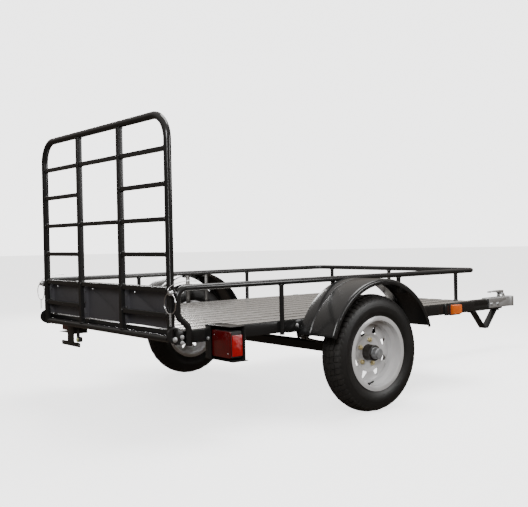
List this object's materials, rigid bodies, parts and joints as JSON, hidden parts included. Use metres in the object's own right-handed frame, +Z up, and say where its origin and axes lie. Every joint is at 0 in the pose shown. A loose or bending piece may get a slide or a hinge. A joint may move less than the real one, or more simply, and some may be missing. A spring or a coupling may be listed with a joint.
{
  "type": "utility trailer",
  "caption": "Single-axle open utility trailer with a ribbed metal deck, low tube guard rails, a fold-down ramp gate, round fenders, spoked wheels and a ball coupler on a straight tongue.",
  "frame": {"origin": "on the ground, on the centreline, half-way along the trailer's length", "axes": "+Z up, +Y forward towards the coupler, +X to the trailer's right"},
  "size_m": [1.7, 3.2179, 1.3148],
  "materials": {
    "black_powder_coat": "gloss",
    "charcoal_powder_coat": "satin",
    "deck_metal": "gloss",
    "white_rim": "gloss",
    "tyre_rubber": "matt",
    "zinc_plate": "satin",
    "gold_zinc": "satin",
    "galvanised": "matt",
    "bare_steel": "satin",
    "bright_wire": "gloss",
    "red_lens": "gloss",
    "amber_lens": "gloss",
    "black_plastic": "matt",
    "valve_rubber": "matt",
    "black_painted_hub": "satin"
  },
  "bodies": {
    "chassis": {"coupler_body": "zinc_plate", "coupler_bolts": "zinc_plate", "cross_tubes": "black_powder_coat", "deck_planks": "deck_metal", "fender_braces": "zinc_plate", "fender_left": "black_powder_coat", "fender_right": "black_powder_coat", "frame_bolts": "zinc_plate", "front_rail": "black_powder_coat", "guard_posts": "black_powder_coat", "guard_rail": "black_powder_coat", "hinge_ears": "black_powder_coat", "lamp_brackets": "black_powder_coat", "leaf_spring_left": "black_powder_coat", "leaf_spring_right": "black_powder_coat", "marker_lamps": "amber_lens", "plate_bracket": "black_powder_coat", "plate_lamp": "black_plastic", "rear_beam": "black_powder_coat", "side_lenses": "red_lens", "side_rail_left": "black_powder_coat", "side_rail_right": "black_powder_coat", "spring_bolts": "zinc_plate", "spring_hangers": "black_powder_coat", "tail_lamp_housings": "black_plastic", "tail_lenses": "red_lens", "tongue_beam": "black_powder_coat", "tongue_saddles": "black_powder_coat", "tongue_stand": "black_powder_coat"},
    "axle": {"axle_beam": "black_powder_coat", "spring_plates": "zinc_plate", "u_bolts": "zinc_plate"},
    "wheel_left": {"hub_left": "black_painted_hub", "bearings_left": "bare_steel", "dust_cap_left": "galvanised", "lug_nuts_left": "gold_zinc", "rim_left": "white_rim", "tyre_left": "tyre_rubber", "valve_stem_left": "valve_rubber"},
    "wheel_right": {"hub_right": "black_painted_hub", "bearings_right": "bare_steel", "dust_cap_right": "galvanised", "lug_nuts_right": "gold_zinc", "rim_right": "white_rim", "tyre_right": "tyre_rubber", "valve_stem_right": "valve_rubber"},
    "gate": {"gate_hoop": "black_powder_coat", "gate_hinge_tube": "black_powder_coat", "gate_uprights": "black_powder_coat", "gate_rungs": "black_powder_coat", "gate_panel_left": "charcoal_powder_coat", "gate_panel_middle": "charcoal_powder_coat", "gate_panel_right": "charcoal_powder_coat", "hinge_pins": "zinc_plate"},
    "latch_pin_left": {"latch_pin_left": "zinc_plate"},
    "latch_pin_right": {"latch_pin_right": "zinc_plate"},
    "latch_ring_left": {"latch_ring_left": "bright_wire"},
    "latch_ring_right": {"latch_ring_right": "bright_wire"},
    "coupler_lever": {"coupler_lever": "zinc_plate"},
    "coupler_jaw": {"coupler_jaw": "zinc_plate"}
  },
  "joints": [
    {"name": "axle_travel", "type": "slide", "parent": "chassis", "child": "axle", "axis": [0, 0, 1], "range_m": [-0.03, 0.045], "stiffness_N_per_m": 40000, "springref_m": -0.034, "deforming": ["leaf_spring_left", "leaf_spring_right"]},
    {"name": "gate_fold", "type": "hinge", "parent": "chassis", "child": "gate", "pos_m": [0, -1.576, 0.4], "axis": [1, 0, 0], "range_deg": [0, 114]},
    {"name": "coupler_lever_lift", "type": "hinge", "parent": "chassis", "child": "coupler_lever", "pos_m": [0, 1.486, 0.385], "axis": [-1, 0, 0], "range_deg": [0, 70]},
    {"name": "coupler_jaw_swing", "type": "hinge", "parent": "chassis", "child": "coupler_jaw", "pos_m": [0, 1.516, 0.35], "axis": [-1, 0, 0], "range_deg": [0, 18]},
    {"name": "wheel_left_spin", "type": "hinge", "parent": "axle", "child": "wheel_left", "pos_m": [-0.754, -0.623, 0.2665], "axis": [1, 0, 0], "continuous": true},
    {"name": "wheel_right_spin", "type": "hinge", "parent": "axle", "child": "wheel_right", "pos_m": [0.754, -0.623, 0.2665], "axis": [1, 0, 0], "continuous": true},
    {"name": "latch_pin_left_pull", "type": "slide", "parent": "gate", "child": "latch_pin_left", "axis": [0, -1, 0], "range_m": [0, 0.042]},
    {"name": "latch_ring_left_swing", "type": "hinge", "parent": "latch_pin_left", "child": "latch_ring_left", "pos_m": [-0.619, -1.5983, 0.585], "axis": [1, 0, 0], "range_deg": [-100, 0]},
    {"name": "latch_pin_right_pull", "type": "slide", "parent": "gate", "child": "latch_pin_right", "axis": [0, -1, 0], "range_m": [0, 0.042]},
    {"name": "latch_ring_right_swing", "type": "hinge", "parent": "latch_pin_right", "child": "latch_ring_right", "pos_m": [0.619, -1.5983, 0.585], "axis": [1, 0, 0], "range_deg": [-100, 0]}
  ],
  "couplings": [
    {"joint": "coupler_jaw_swing", "follows": "coupler_lever_lift", "ratio": 0.25}
  ]
}
